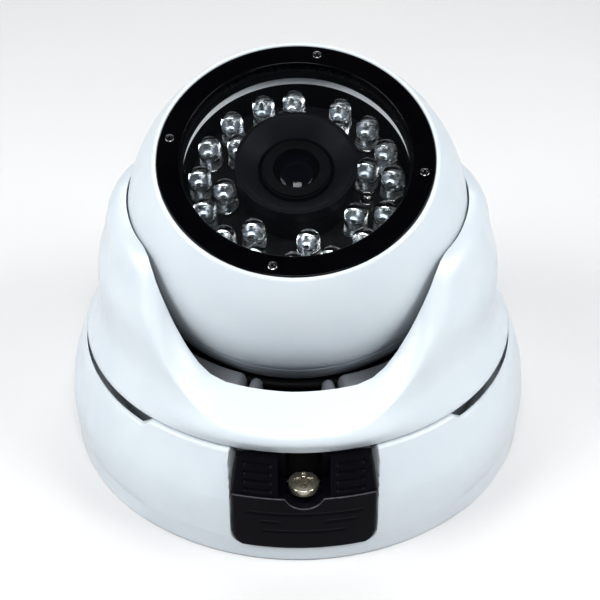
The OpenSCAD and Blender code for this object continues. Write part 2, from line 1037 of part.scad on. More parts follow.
module board_screws() {
    color("silver")
    in_ball()
    at_corners(board_post)
        cross_screw(board_screw_r, 1.9, 1.4, sensor_board_top,
                    sensor_board_top - lower_board_top + board_t + 4);
}

module rear_grommet() {
    color("black")
    in_ball()
    intersection() {
        sphere(r = ball_r - 0.1);
        ring(grommet_r - fit, 2.6, -ball_r, -ball_in_r + 1.5);
    }
}

base_casting();
base_gasket();
pan_washer();
lock_pad_front();
lock_pad_back();
lock_screws();
yoke_cover();
seat_ring();
seat_screws();
seat_blocks();
friction_ring();
pivot_bushes();
tilt_ring();
pivot_pins();
front_shell();
rear_shell();
shell_seal();
shell_screws();
bezel_ring();
bezel_screws();
front_glass();
glass_gasket();
spacer_ring();
lamp_carrier();
carrier_screws();
lamp_board();
lamps_outer_ring();
lamps_inner_ring();
light_sensor();
lens_hood();
lens_barrel();
lens_retainer();
front_lens();
rear_lens();
focus_lock_ring();
lens_holder();
lens_holder_screws();
image_sensor();
sensor_board();
board_standoffs();
power_board();
video_chip();
power_connector();
board_screws();
rear_grommet();
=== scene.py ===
import json
import math

import bmesh
import bpy
from mathutils import Matrix, Vector

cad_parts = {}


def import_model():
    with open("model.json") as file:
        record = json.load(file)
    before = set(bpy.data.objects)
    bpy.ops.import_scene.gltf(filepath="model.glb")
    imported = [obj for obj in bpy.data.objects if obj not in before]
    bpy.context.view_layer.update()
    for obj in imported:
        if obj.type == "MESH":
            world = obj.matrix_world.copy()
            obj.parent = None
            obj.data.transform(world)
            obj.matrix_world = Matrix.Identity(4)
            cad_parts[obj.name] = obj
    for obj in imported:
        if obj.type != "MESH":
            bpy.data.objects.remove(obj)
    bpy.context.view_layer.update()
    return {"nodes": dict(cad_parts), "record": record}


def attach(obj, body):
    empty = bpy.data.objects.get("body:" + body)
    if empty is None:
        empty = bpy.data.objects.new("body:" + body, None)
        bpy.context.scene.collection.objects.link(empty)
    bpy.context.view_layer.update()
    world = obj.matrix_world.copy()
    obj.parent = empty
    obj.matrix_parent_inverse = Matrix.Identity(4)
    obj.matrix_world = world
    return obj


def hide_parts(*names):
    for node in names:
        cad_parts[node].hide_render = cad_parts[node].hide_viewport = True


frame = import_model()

MM = 0.001
NODES = frame["nodes"]
JOINTS = {j["name"]: j for j in frame["record"]["behaviour"]["joints"]}

# ---------------------------------------------------------------- sizes, in millimetres

BALL_R = 37.6
CLEAR_R = BALL_R + 0.3
BALL_Z = JOINTS["tilt"]["pos_m"][2] / MM
ROLL_AT_REST = math.radians(-8)

# along the lens axis, from the ball centre
FACE_W = 23.3
GLASS_TOP = 22.6
GLASS_BOTTOM = 21.0
SEAT_W = 20.4
LIP_W = 18.6
SPACER_W = 15.9
BOARD_TOP = 8.2
BOARD_BOTTOM = 6.6
CARRIER_W = 5.0
SEAM_W = 0.7
RING_TOP = 0.6
RING_BOTTOM = -5.9

# radii of the window
WINDOW_R = 24.01
BEZEL_R = 28.71
HOLE_R = 24.21
CARRIER_R = 25.31
GLASS_R = 25.6
BEZEL_SCREW_R = 26.61

LAMP_R = 2.5
LAMP_TIP = 16.8
LAMP_OUTER_R = 20.51
LAMP_INNER_R = 15.31
HOOD_TOP = 20.9
BARREL_TOP = 18.1

# base and yoke cover
BASE_R = 53.1
LOBE_R = 53.65
CREASE_Z = 17.0
RIM_Z = 25.0
LOBE_Z = 26.6
RIM_R = 51.0
BORE_R = 45.45
PAD_HALF = 15.0
PAD_BOTTOM = 4.5
PAD_CREASE = 19.0
PAD_R = 54.0
PAD_IN_R = 47.2
LOCK_R = 48.4
LOCK_SEAT = 17.4
LOCK_HEAD = 1.8
COUNTERBORE_R = 3.85
POCKET_R = 4.7
POCKET_LOW = 15.0
CHANNEL_R = 4.3
CHANNEL_Z = 20.6
RECESS_W = 10.7
PAD_TOP_HALF = 13.8
PAD_CORNER = 3.0
PAD_ROOM = 0.25
BEAD_R = 0.16
LOUVRES = 4
LOUVRE_STEP = 1.75
GROOVES = ((12.2, -9.5, -4.5), (12.4, 4.0, 11.0), (9.6, -9.0, 9.0), (14.6, -12.5, 12.5))
SKIRT_Z = 26.9
SKIRT_R = 48.95
YOKE_IN_R = 39.4

# ---------------------------------------------------------------- frames of the bodies


def yoke_frame():
    """Frame of the yoke cover, with X along the tilt axis."""
    axis = Vector(JOINTS["tilt"]["axis"])
    return Matrix.Rotation(math.atan2(axis.y, axis.x), 4, "Z")


def gimbal_frame():
    """Frame of the tilt ring, with Z along the lens axis."""
    x = Vector(JOINTS["tilt"]["axis"]).normalized()
    z = Vector(JOINTS["roll"]["axis"]).normalized()
    y = z.cross(x)
    turn = Matrix((x, y, z)).transposed().to_4x4()
    return Matrix.Translation((0, 0, BALL_Z)) @ turn


ROW = Matrix.Identity(4)
YOKE = yoke_frame()
GIMBAL = gimbal_frame()
BALL = GIMBAL @ Matrix.Rotation(ROLL_AT_REST, 4, "Z")


# ---------------------------------------------------------------- mesh helpers


def smooth(low, high, value):
    """0 below low, 1 above high, and a smooth rise between."""
    t = min(1.0, max(0.0, (value - low) / (high - low)))
    return t * t * (3 - 2 * t)


def mix(a, b, t):
    """a at t 0, b at t 1."""
    return a + (b - a) * t


def curve(points, value):
    """Value on the straight lines through (place, height) points."""
    if value <= points[0][0]:
        return points[0][1]
    for (x0, y0), (x1, y1) in zip(points, points[1:]):
        if value <= x1:
            return mix(y0, y1, (value - x0) / (x1 - x0))
    return points[-1][1]


def piece(name, verts, faces, where=ROW, sharp=35):
    """A smooth-shaded object from points in millimetres in a body's frame."""
    mesh = bpy.data.meshes.new(name)
    mesh.from_pydata([where @ Vector(v) * MM for v in verts], [], faces)
    mesh.validate()
    mesh.shade_smooth()
    mesh.set_sharp_from_angle(angle=math.radians(sharp))
    obj = bpy.data.objects.new(name, mesh)
    bpy.context.scene.collection.objects.link(obj)
    return obj


def rounded(outline, radius, steps=4):
    """A closed outline with each corner rounded by about that radius."""
    result = []
    count = len(outline)
    for i, corner in enumerate(outline):
        c = Vector(corner)
        back = Vector(outline[i - 1]) - c
        ahead = Vector(outline[(i + 1) % count]) - c
        reach = min(radius, back.length * 0.45, ahead.length * 0.45)
        start = c + back.normalized() * reach
        end = c + ahead.normalized() * reach
        for k in range(steps + 1):
            t = k / steps
            p = start * (1 - t) ** 2 + c * 2 * t * (1 - t) + end * t ** 2
            result.append((p.x, p.y))
    return result


def arc(radius, low, high, steps, centre=0.0):
    """Points (r, w) on a sphere's outline between two heights."""
    a0 = math.asin((low - centre) / radius)
    a1 = math.asin((high - centre) / radius)
    turns = [a0 + (a1 - a0) * i / steps for i in range(steps + 1)]
    return [(radius * math.cos(a), centre + radius * math.sin(a)) for a in turns]


def lathe_data(outline, steps, spot=(0, 0)):
    """Points and faces of a closed outline spun about Z, moved to a spot."""
    verts = []
    faces = []
    count = len(outline)
    for i in range(steps):
        turn = 2 * math.pi * i / steps
        for r, z in outline:
            verts.append((spot[0] + r * math.cos(turn), spot[1] + r * math.sin(turn), z))
    for i in range(steps):
        j = (i + 1) % steps
        for k in range(count):
            m = (k + 1) % count
            faces.append((i * count + k, j * count + k, j * count + m, i * count + m))
    return verts, faces


def lathe(name, outline, where, steps=160, sharp=35):
    """An object turned from an outline."""
    verts, faces = lathe_data(outline, steps)
    obj = piece(name, verts, faces, where, sharp)
    weld(obj)
    return obj


def weld(obj):
    """Joins points that lie on each other, such as those of an outline on its own axis."""
    bm = bmesh.new()
    bm.from_mesh(obj.data)
    bmesh.ops.remove_doubles(bm, verts=bm.verts, dist=1e-7)
    bmesh.ops.dissolve_degenerate(bm, edges=bm.edges, dist=1e-7)
    bmesh.ops.recalc_face_normals(bm, faces=bm.faces)
    bm.to_mesh(obj.data)
    bm.free()


def group(name, parts, where, sharp=35):
    """One object from several (points, faces) pairs."""
    verts = []
    faces = []
    for part_verts, part_faces in parts:
        start = len(verts)
        verts += part_verts
        faces += [tuple(start + v for v in face) for face in part_faces]
    obj = piece(name, verts, faces, where, sharp)
    weld(obj)
    return obj


def skin_faces(rows, count, closed=False):
    """Faces between neighbouring rows of points, each row a closed outline of count points."""
    faces = []
    for i in range(rows if closed else rows - 1):
        j = (i + 1) % rows
        for k in range(count):
            m = (k + 1) % count
            faces.append((i * count + k, j * count + k, j * count + m, i * count + m))
    return faces


def cylinder_outline(radius, low, high):
    """Outline (r, z) of a plain cylinder."""
    return [(0, low), (radius, low), (radius, high), (0, high)]


def box_data(low, high):
    """Points and faces of a box between two corners."""
    xs, ys, zs = zip(low, high)
    verts = [(x, y, z) for x in xs for y in ys for z in zs]
    faces = [(0, 1, 3, 2), (4, 6, 7, 5), (0, 4, 5, 1), (2, 3, 7, 6), (0, 2, 6, 4), (1, 5, 7, 3)]
    return verts, faces


def turned(data, matrix):
    """The same points and faces moved by a matrix."""
    verts, faces = data
    return [tuple(matrix @ Vector(v)) for v in verts], faces


def carve(obj, cutters, where, sharp=40):
    """Cuts solids out of an object."""
    for number, data in enumerate(cutters):
        cutter = group(f"cutter_{number}", [data], where)
        step = obj.modifiers.new("cut", "BOOLEAN")
        step.operation = "DIFFERENCE"
        step.solver = "EXACT"
        step.object = cutter
        bpy.context.view_layer.update()
        mesh = bpy.data.meshes.new_from_object(obj.evaluated_get(bpy.context.evaluated_depsgraph_get()))
        obj.modifiers.clear()
        spare = obj.data
        obj.data = mesh
        bpy.data.meshes.remove(spare)
        bpy.data.objects.remove(cutter)
    obj.data.shade_smooth()
    obj.data.set_sharp_from_angle(angle=math.radians(sharp))


def spots(count, radius, start=0.0):
    """Places on a circle."""
    turns = [start + 2 * math.pi * i / count for i in range(count)]
    return [(radius * math.cos(a), radius * math.sin(a)) for a in turns]


def finish_piece(obj, body, slot, material, *nodes):
    """Gives a piece its material and its body, and hides the CAD nodes that it stands for. The slot is not
    used.
    """
    obj.data.materials.append(material)
    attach(obj, body)
    if nodes:
        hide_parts(*nodes)
    return obj


# ---------------------------------------------------------------- materials


class Look:
    """A procedural material built round one Principled shader."""

    def __init__(self, name, colour, roughness, metallic=0.0):
        self.material = bpy.data.materials.new(name)
        self.material.use_nodes = True
        self.tree = self.material.node_tree
        self.shader = self.tree.nodes["Principled BSDF"]
        self.shader.inputs["Base Color"].default_value = (*colour, 1)
        self.shader.inputs["Roughness"].default_value = roughness
        self.shader.inputs["Metallic"].default_value = metallic
        self.coords = self.tree.nodes.new("ShaderNodeTexCoord")

    def set(self, socket, value):
        self.shader.inputs[socket].default_value = value
        return self

    def noise(self, scale, detail=3.0, stretch=(1, 1, 1)):
        mapping = self.tree.nodes.new("ShaderNodeMapping")
        mapping.inputs["Scale"].default_value = stretch
        self.tree.links.new(self.coords.outputs["Object"], mapping.inputs["Vector"])
        node = self.tree.nodes.new("ShaderNodeTexNoise")
        node.inputs["Scale"].default_value = scale
        node.inputs["Detail"].default_value = detail
        self.tree.links.new(mapping.outputs["Vector"], node.inputs["Vector"])
        return node.outputs["Fac"]

    def spread(self, factor, low, high):
        node = self.tree.nodes.new("ShaderNodeMapRange")
        node.inputs["From Min"].default_value = 0.3
        node.inputs["From Max"].default_value = 0.7
        node.inputs["To Min"].default_value = low
        node.inputs["To Max"].default_value = high
        self.tree.links.new(factor, node.inputs["Value"])
        return node.outputs["Result"]

    def tint(self, factor, low, high):
        """Base colour that varies between two colours."""
        node = self.tree.nodes.new("ShaderNodeMix")
        node.data_type = "RGBA"
        node.inputs["A"].default_value = (*low, 1)
        node.inputs["B"].default_value = (*high, 1)
        self.tree.links.new(self.spread(factor, 0, 1), node.inputs["Factor"])
        self.tree.links.new(node.outputs["Result"], self.shader.inputs["Base Color"])
        return self

    def gloss(self, factor, low, high):
        self.tree.links.new(self.spread(factor, low, high), self.shader.inputs["Roughness"])
        return self

    def bump(self, factor, strength, depth_mm):
        node = self.tree.nodes.new("ShaderNodeBump")
        node.inputs["Strength"].default_value = strength
        node.inputs["Distance"].default_value = depth_mm * MM
        self.tree.links.new(factor, node.inputs["Height"])
        if self.shader.inputs["Normal"].is_linked:
            previous = self.shader.inputs["Normal"].links[0].from_socket
            self.tree.links.new(previous, node.inputs["Normal"])
        self.tree.links.new(node.outputs["Normal"], self.shader.inputs["Normal"])
        return self


def paint_look():
    """Satin white stoved paint with a light orange peel."""
    look = Look("white_paint", (0.535, 0.575, 0.61), 0.40)
    look.tint(look.noise(55, 2), (0.52, 0.565, 0.60), (0.555, 0.595, 0.625))
    look.gloss(look.noise(240, 3), 0.30, 0.44)
    look.bump(look.noise(1300, 2), 0.22, 0.03)
    look.set("Coat Weight", 0.18)
    look.set("Coat Roughness", 0.25)
    return look.material


def plastic_look(name, low, high, rough_low, rough_high, grain=2600, depth=0.015, shine=0.5, metallic=0.0):
    """Moulded plastic, rubber or coated metal with a fine spark grain."""
    look = Look(name, low, rough_low, metallic)
    look.set("Specular IOR Level", shine)
    look.tint(look.noise(90, 3), low, high)
    look.gloss(look.noise(420, 3), rough_low, rough_high)
    look.bump(look.noise(grain, 2), 0.35, depth)
    return look.material


def metal_look(name, low, high, rough_low, rough_high, brush=(1, 1, 14)):
    """Bare metal with fine tool marks."""
    look = Look(name, low, rough_low, metallic=1.0)
    look.tint(look.noise(160, 3), low, high)
    look.gloss(look.noise(380, 4, brush), rough_low, rough_high)
    look.bump(look.noise(900, 3, brush), 0.2, 0.01)
    return look.material


def clear_look(name, colour, alpha, roughness):
    """Thin clear glass with faint smears, seen as a see-through coat."""
    look = Look(name, colour, roughness)
    look.gloss(look.noise(70, 4), roughness, roughness + 0.03)
    look.set("Alpha", alpha)
    return look.material


def resin_look():
    """Clear cast resin of the lamps."""
    look = Look("lamp_resin", (0.93, 0.96, 0.95), 0.02)
    look.tint(look.noise(300, 2), (0.90, 0.94, 0.93), (0.98, 0.99, 0.99))
    look.gloss(look.noise(500, 2), 0.0, 0.05)
    look.set("Transmission Weight", 1.0)
    look.set("IOR", 1.5)
    return look.material


def lens_look():
    """Coated lens glass, dark with a violet sheen."""
    look = Look("lens_glass", (0.003, 0.003, 0.006), 0.04)
    look.tint(look.noise(120, 2), (0.002, 0.002, 0.004), (0.005, 0.004, 0.009))
    look.gloss(look.noise(300, 2), 0.03, 0.06)
    look.set("Specular IOR Level", 0.2)
    return look.material


def circuit_look(name, low, high):
    """Lacquered circuit board with faint tracks."""
    look = Look(name, low, 0.35)
    look.tint(look.noise(700, 1, (1, 6, 1)), low, high)
    look.gloss(look.noise(400, 3), 0.28, 0.45)
    look.bump(look.noise(900, 1, (6, 1, 1)), 0.3, 0.03)
    return look.material


PAINT = paint_look()
PAD_BLACK = plastic_look("black_plastic", (0.002, 0.002, 0.004), (0.004, 0.0035, 0.007), 0.30, 0.42,
                         shine=0.10)
# Lighter, shinier copy of the black plastic for the crease beads: a painted highlight along each pad's
# crease.
CREASE_HIGHLIGHT_BLACK = plastic_look("black_painted_highlight", (0.055, 0.05, 0.06), (0.085, 0.08, 0.095), 0.25, 0.35, shine=0.5)
HOOD_BLACK = plastic_look("hood_rubber", (0.004, 0.004, 0.006), (0.007, 0.007, 0.010), 0.42, 0.55,
                          shine=0.11)
DEEP_BLACK = plastic_look("deep_black", (0.001, 0.001, 0.0015), (0.003, 0.003, 0.004), 0.5, 0.65,
                          shine=0.12)
BEZEL_BLACK = plastic_look("black_anodised", (0.001, 0.001, 0.0015), (0.002, 0.002, 0.003), 0.14, 0.22,
                           3200, 0.004, 0.2)
GREY_METAL = plastic_look("grey_metal", (0.52, 0.57, 0.62), (0.60, 0.65, 0.69), 0.28, 0.38)
SEAT_GREY = plastic_look("seat_grey", (0.10, 0.11, 0.12), (0.14, 0.15, 0.165), 0.5, 0.62)
SOFT_GREY = plastic_look("soft_grey", (0.20, 0.22, 0.22), (0.30, 0.32, 0.32), 0.6, 0.75)
NYLON = plastic_look("nylon", (0.70, 0.67, 0.58), (0.80, 0.77, 0.68), 0.4, 0.55)
CHIP = plastic_look("chip_black", (0.012, 0.012, 0.013), (0.03, 0.03, 0.03), 0.5, 0.65)
NICKEL = plastic_look("nickel", (0.34, 0.32, 0.26), (0.62, 0.58, 0.48), 0.16, 0.28, 900, 0.01,
                      shine=1.0, metallic=0.75)
STEEL = metal_look("steel", (0.50, 0.47, 0.41), (0.72, 0.69, 0.62), 0.16, 0.30, (1, 1, 1))
DARK_STEEL = metal_look("dark_steel", (0.16, 0.16, 0.17), (0.34, 0.34, 0.34), 0.12, 0.22, (1, 1, 1))
PIVOT = metal_look("pivot_steel", (0.50, 0.50, 0.50), (0.65, 0.65, 0.65), 0.2, 0.35)
SILVER = metal_look("aluminium", (0.72, 0.76, 0.80), (0.85, 0.88, 0.92), 0.22, 0.34)
# Near-white non-metal for the aluminium spacer ring: its light metal tone plus a painted reflection that
# stands in for the metal's sheen.
SPACER_SHEEN_WHITE = plastic_look("spacer_painted_sheen", (0.88, 0.93, 0.96), (0.95, 0.98, 1.0), 0.25, 0.35)
BRASS = metal_look("brass", (0.62, 0.45, 0.18), (0.78, 0.60, 0.28), 0.2, 0.35)
WINDOW = clear_look("window_glass", (0.02, 0.025, 0.03), 0.05, 0.02)
RESIN = resin_look()
LENS = lens_look()
BOARD_BLACK = circuit_look("board_black", (0.004, 0.004, 0.005), (0.010, 0.010, 0.012))
BOARD_GREEN = circuit_look("board_green", (0.01, 0.10, 0.04), (0.02, 0.17, 0.07))


# ---------------------------------------------------------------- base

PAD_TURNS = [-math.pi / 2, math.pi / 2]


def nearest_pad(turn):
    """Angle from the nearest lock pad, in radians."""
    return min((math.remainder(turn - p, 2 * math.pi) for p in PAD_TURNS), key=abs)


def base_wall(turn, z):
    """Outer radius of the base."""
    off = abs(math.degrees(nearest_pad(turn)))
    lobe = 1 - smooth(38.5, 43.5, off)
    plain = curve([(0, BASE_R + 0.2), (2.5, BASE_R), (4.5, BASE_R - 0.05), (7, LOBE_R - 0.1), (9, LOBE_R),
                   (12.5, LOBE_R), (15, 53.2), (17, 52.7), (19.5, 51.9), (22.5, 50.9), (RIM_Z, 50.0)], z)
    full = curve([(0, BASE_R), (3, LOBE_R - 0.3), (6, LOBE_R), (13, LOBE_R), (15.5, 53.35), (17, 52.95),
                  (19, 52.3), (21, 51.6), (23, 50.8), (25, 49.95), (LOBE_Z, 49.5)], z)
    return mix(plain, full, lobe)


def rim_height(turn):
    """Height of the rim, raised on the lobes round the pads."""
    off = abs(math.degrees(nearest_pad(turn)))
    return mix(LOBE_Z, RIM_Z, smooth(40.0, 42.5, off))


def notch(turn, z, r):
    """Depth of the pocket round a lock pad, 0 outside it and 1 inside."""
    across = r * math.sin(nearest_pad(turn))
    half = PAD_HALF + PAD_ROOM
    corner = PAD_CORNER + 0.2
    low = PAD_BOTTOM - 0.2
    dx = abs(across) - (half - corner)
    dz = (low + corner) - z
    if dx > 0 and dz > 0:
        edge = math.hypot(dx, dz) - corner
    else:
        edge = max(dx, dz) - corner
    return 1 - smooth(-0.35, 0.1, edge)


def pocket_back(turn, z):
    """Radius of the back of a pad's pocket, deeper behind the screw's head."""
    across = LOCK_R * math.sin(nearest_pad(turn))
    back = PAD_IN_R - 0.3
    if z > POCKET_LOW and abs(across) < POCKET_R:
        back = min(back, LOCK_R - math.sqrt(POCKET_R ** 2 - across ** 2))
    return max(back, BORE_R + 0.1)


def base_mesh():
    """Cast base: one skin of rings from the underside up the wall, over the rim and down inside."""
    turns = set()
    for i in range(360):
        turns.add(round(math.radians(i), 5))
    for p in PAD_TURNS:
        for side in (-1, 1):
            edge = math.asin((PAD_HALF + PAD_ROOM) / 51.5)
            for k in range(-14, 9):
                turns.add(round((p + side * (edge + k * 0.0045)) % (2 * math.pi), 5))
    turns = sorted(turns)
    rows = [0.0, 0.25, 0.6, 1.2, 2.2, 3.2, 3.8]
    rows += [4.1 + 0.12 * k for k in range(14)]
    rows += [6.0 + 0.35 * k for k in range(8)] + [9.5, 11.0]
    rows += [CREASE_Z - 1.2 + 0.4 * k for k in range(8)] + [16.5, 18.5, 20.5, 22.0, 23.2]
    verts = []
    for turn in turns:
        top = rim_height(turn)
        column = [(CARRIER_W * 2, 0.0), (44.5, 0.0), (44.5, 1.2), (49.5, 1.2), (49.5, 0.0)]
        outside = [(base_wall(turn, z), z) for z in rows]
        outside[0] = (outside[0][0] - 0.3, 0.0)
        for r, z in outside:
            column.append((mix(r, pocket_back(turn, z), notch(turn, z, r)), z))
        for lift, inset in ((-1.2, 0.0), (-0.7, 0.02), (-0.3, 0.12), (-0.1, 0.35), (0.0, 0.8)):
            z = top + lift
            r = base_wall(turn, z) - inset
            column.append((mix(r, pocket_back(turn, z), notch(turn, z, r)), z))
        open_rim = smooth(41.0, 43.0, abs(math.degrees(nearest_pad(turn))))
        rim = min(mix(46.3, 49.45, open_rim), column[-1][0] - 0.01)
        low = mix(top - 0.8, 15.6, open_rim)
        column += [(rim, top), (min(mix(45.8, 49.3, open_rim), rim - 0.01), top - 0.3)]
        column += [(min(mix(45.7, 49.25, open_rim), rim - 0.02), low), (BORE_R + 0.06, low - 0.01)]
        column += [(BORE_R + 0.05, 9.5)]
        column += [(41.0, 9.5), (41.0, 3.0), (CARRIER_W * 2, 3.0)]
        for r, z in column:
            verts.append((r * math.cos(turn), r * math.sin(turn), z))
    faces = skin_faces(len(turns), len(column), True)
    obj = piece("base_shell", verts, faces, ROW, 50)
    weld(obj)
    return finish_piece(obj, "base", "white_paint", PAINT, "base_casting")


base_mesh()


# ---------------------------------------------------------------- lock pads


def pad_height(along):
    """Radius and height on the middle of a pad's skin, a way along it from the lower edge."""
    lower = PAD_CREASE - PAD_BOTTOM
    upper = LOBE_Z - PAD_CREASE
    if along <= lower:
        return PAD_R, PAD_BOTTOM + along
    t = (along - lower) / upper
    return mix(PAD_R - 0.35, RIM_R - 0.15, t), PAD_CREASE + t * upper


def pad_dent(across, z):
    """How far a pad's skin is pushed in: louvres on the slope and grooves on the lower face."""
    dent = 0.0
    # louvres on the slope, both sides
    if 6.4 < abs(across) < 12.6:
        ends = smooth(6.4, 6.9, abs(across)) * (1 - smooth(12.0, 12.6, abs(across)))
        for k in range(LOUVRES):
            off = abs(z - (PAD_CREASE + 1.2 + LOUVRE_STEP * k))
            dent += 0.6 * ends * (1 - smooth(0.2, 0.45, off))
    # shallow grooves on the lower face: height and both ends
    for z0, x0, x1 in GROOVES:
        if x0 < across < x1:
            ends = smooth(x0, x0 + 1, across) * (1 - smooth(x1 - 1, x1, across))
            dent += 0.16 * ends * (1 - smooth(0.2, 0.5, abs(z - z0)))
    return dent


def pad_mesh(name, turn):
    """A moulded clamp block: front skin as a fine grid, with sides and back."""
    columns = 132
    lengths = []
    step = 0.16
    top_length = LOBE_Z - PAD_BOTTOM
    along = 0.0
    while along < top_length:
        lengths.append(along)
        along += step
    lengths.append(top_length)
    verts = []
    faces = []
    for along in lengths:
        r, z = pad_height(along)
        half = PAD_HALF
        if z > PAD_CREASE:
            half = mix(PAD_HALF, PAD_TOP_HALF, (z - PAD_CREASE) / (LOBE_Z - PAD_CREASE))
        if z < PAD_BOTTOM + PAD_CORNER:
            drop = PAD_BOTTOM + PAD_CORNER - z
            half = PAD_HALF - PAD_CORNER + math.sqrt(max(0, PAD_CORNER ** 2 - drop ** 2))
        for i in range(columns + 1):
            across = -half + 2 * half * i / columns
            edge = min(half - abs(across), along + 0.02)
            soft = 0.55 * (1 - math.sqrt(max(0, 1 - (1 - min(1, edge / 0.55)) ** 2)))
            bend = r - across ** 2 / (2 * r)
            deep = bend - soft - pad_dent(across, z)
            deep = max(deep, PAD_IN_R + 0.05)
            verts.append((deep, across, z))
    width = columns + 1
    for a in range(len(lengths) - 1):
        for b in range(columns):
            faces.append((a * width + b, a * width + b + 1, (a + 1) * width + b + 1, (a + 1) * width + b))
    # back skin, a plain copy further in
    start = len(verts)
    verts += [(PAD_IN_R, y, z) for _, y, z in verts]
    for a in range(len(lengths) - 1):
        for b in range(columns):
            faces.append((start + a * width + b, start + (a + 1) * width + b,
                          start + (a + 1) * width + b + 1, start + a * width + b + 1))
    last = (len(lengths) - 1) * width
    for b in range(columns):
        faces.append((b, start + b, start + b + 1, b + 1))
        faces.append((last + b, last + b + 1, start + last + b + 1, start + last + b))
    for a in range(len(lengths) - 1):
        for b in (0, columns):
            p = a * width + b
            q = (a + 1) * width + b
            faces.append((p, q, start + q, start + p))
    where = Matrix.Rotation(turn, 4, "Z")
    obj = piece(name, verts, faces, where, 40)
    weld(obj)
    head_top = LOCK_SEAT + LOCK_HEAD
    along_x = Matrix.Translation((LOCK_R + 2.6, 0, CHANNEL_Z)) @ Matrix.Rotation(math.pi / 2, 4, "Y")
    carve(obj, [
        lathe_data(cylinder_outline(COUNTERBORE_R, LOCK_SEAT, LOBE_Z + 2), 64, (LOCK_R, 0)),
        turned(lathe_data(cylinder_outline(CHANNEL_R, 0, 6), 64), along_x),
        box_data((PAD_IN_R + 0.5, -RECESS_W / 2, head_top), (PAD_R + 2, RECESS_W / 2, LOBE_Z + 2)),
    ], where)
    return obj


def pocket_data(turn):
    """Curved wall of a pad behind the screw's head."""
    steps = 24
    verts = []
    for i in range(steps + 1):
        a = math.radians(100 + 160 * i / steps)
        for r, z in ((3.9, LOCK_SEAT), (4.15, LOCK_SEAT), (4.15, LOBE_Z - 0.2), (3.9, LOBE_Z - 0.2)):
            back = BORE_R + (0.2 if r > 4 else 0.4)
            verts.append((max(LOCK_R + r * math.cos(a), back), r * math.sin(a), z))
    faces = skin_faces(steps + 1, 4)
    faces.append((0, 1, 2, 3))
    faces.append(tuple(steps * 4 + k for k in (3, 2, 1, 0)))
    return turned((verts, faces), Matrix.Rotation(turn, 4, "Z"))


def screw_data(radius, height, z, spot, arm, slot_half, turn=0.0):
    """A domed screw head with a cross recess, as a polar height field."""
    rings = 30
    steps = 72
    verts = []
    faces = []
    for k in range(rings + 1):
        r = radius * k / rings
        edge = k / rings
        for i in range(steps):
            a = 2 * math.pi * i / steps
            x = r * math.cos(a)
            y = r * math.sin(a)
            top = height * (0.62 + 0.38 * math.sqrt(max(0, 1 - edge ** 2.6)))
            u = x * math.cos(turn) + y * math.sin(turn)
            v = -x * math.sin(turn) + y * math.cos(turn)
            near = min(abs(u), abs(v))
            far = max(abs(u), abs(v))
            inside = 1 - smooth(slot_half * 0.8, slot_half * 1.25, near)
            inside *= 1 - smooth(arm * 0.85, arm, far)
            hub = 1 - smooth(slot_half * 1.5, slot_half * 2.3, math.hypot(u, v))
            depth = height * (0.85 - 0.45 * min(1, far / arm))
            top -= depth * max(inside, hub * 0.9)
            verts.append((spot[0] + x, spot[1] + y, z + top))
    base = len(verts)
    for i in range(steps):
        a = 2 * math.pi * i / steps
        verts.append((spot[0] + radius * math.cos(a), spot[1] + radius * math.sin(a), z))
    for k in range(rings):
        for i in range(steps):
            j = (i + 1) % steps
            faces.append((k * steps + i, (k + 1) * steps + i, (k + 1) * steps + j, k * steps + j))
    for i in range(steps):
        j = (i + 1) % steps
        faces.append((rings * steps + i, base + i, base + j, rings * steps + j))
    faces.append(tuple(base + i for i in reversed(range(steps))))
    return verts, faces


for pad_name, pad_turn in zip(("front", "back"), PAD_TURNS):
    pad = pad_mesh("lock_pad_skin_" + pad_name, pad_turn)
    finish_piece(pad, "base", "black_plastic", PAD_BLACK, "lock_pad_" + pad_name)

def bead_data(turn):
    """Raised edge along a pad's crease and under the channel of its screw."""
    reach = math.sqrt(CHANNEL_R ** 2 - (CHANNEL_Z - PAD_CREASE) ** 2)
    line = [(-14.7 + (14.7 - reach) * i / 14, PAD_CREASE) for i in range(14)]
    low = math.asin(reach / CHANNEL_R)
    for i in range(33):
        a = -low + 2 * low * i / 32
        line.append((CHANNEL_R * math.sin(a), CHANNEL_Z - CHANNEL_R * math.cos(a)))
    line += [(reach + (14.7 - reach) * i / 14, PAD_CREASE) for i in range(1, 15)]
    sides = 8
    verts = []
    for y, z in line:
        r = PAD_R - y ** 2 / (2 * PAD_R)
        for k in range(sides):
            a = 2 * math.pi * k / sides
            verts.append((r + BEAD_R * math.cos(a), y, z + BEAD_R * math.sin(a)))
    faces = skin_faces(len(line), sides)
    faces.append(tuple(range(sides)))
    faces.append(tuple((len(line) - 1) * sides + k for k in reversed(range(sides))))
    return turned((verts, faces), Matrix.Rotation(turn, 4, "Z"))


# The beads wear the lighter black, which paints a highlight line along each crease.
beads = group("pad_crease_beads", [bead_data(a) for a in PAD_TURNS], ROW, 60)
finish_piece(beads, "base", "black_plastic", CREASE_HIGHLIGHT_BLACK)

pockets = group("pad_pocket_walls", [pocket_data(a) for a in PAD_TURNS], ROW)
finish_piece(pockets, "base", "black_plastic", DEEP_BLACK)

heads = [screw_data(3.25, LOCK_HEAD, LOCK_SEAT, (LOCK_R * math.cos(a), LOCK_R * math.sin(a)), 2.1, 0.42, a)
         for a in PAD_TURNS]
finish_piece(group("lock_screw_heads", heads, ROW, 60), "base", "steel", NICKEL, "lock_screws")


# ---------------------------------------------------------------- yoke cover


def fold(turn):
    """Angle in degrees from the nearer open side, 0 at the front or back and 90 at an ear."""
    off = abs(math.degrees(math.remainder(turn + math.pi / 2, 2 * math.pi)))
    return min(off, 180 - off)


